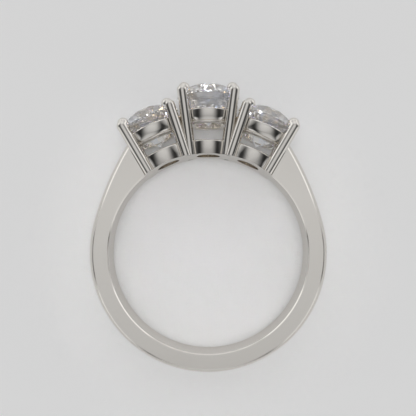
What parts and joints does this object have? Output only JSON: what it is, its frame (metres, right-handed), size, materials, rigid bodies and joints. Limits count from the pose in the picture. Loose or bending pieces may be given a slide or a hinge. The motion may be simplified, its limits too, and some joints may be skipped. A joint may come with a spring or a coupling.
{
  "type": "three stone ring",
  "caption": "Polished finger ring whose round brilliants stand in a row of four-prong heads, the middle one raised, on a plain low-domed shank.",
  "frame": {"origin": "centre of the finger hole, half way through the shank's width", "axes": "+Z along the finger hole, +Y towards the middle stone, +X to the right of a viewer who looks along -Z"},
  "size_m": [0.0204, 0.0247, 0.0054],
  "materials": {
    "white_metal": "polished white precious metal",
    "clear_stone": "faceted, colourless"
  },
  "bodies": {
    "root": {"shank_and_heads": "white_metal", "centre_stone": "clear_stone", "left_stone": "clear_stone", "right_stone": "clear_stone"}
  },
  "joints": []
}
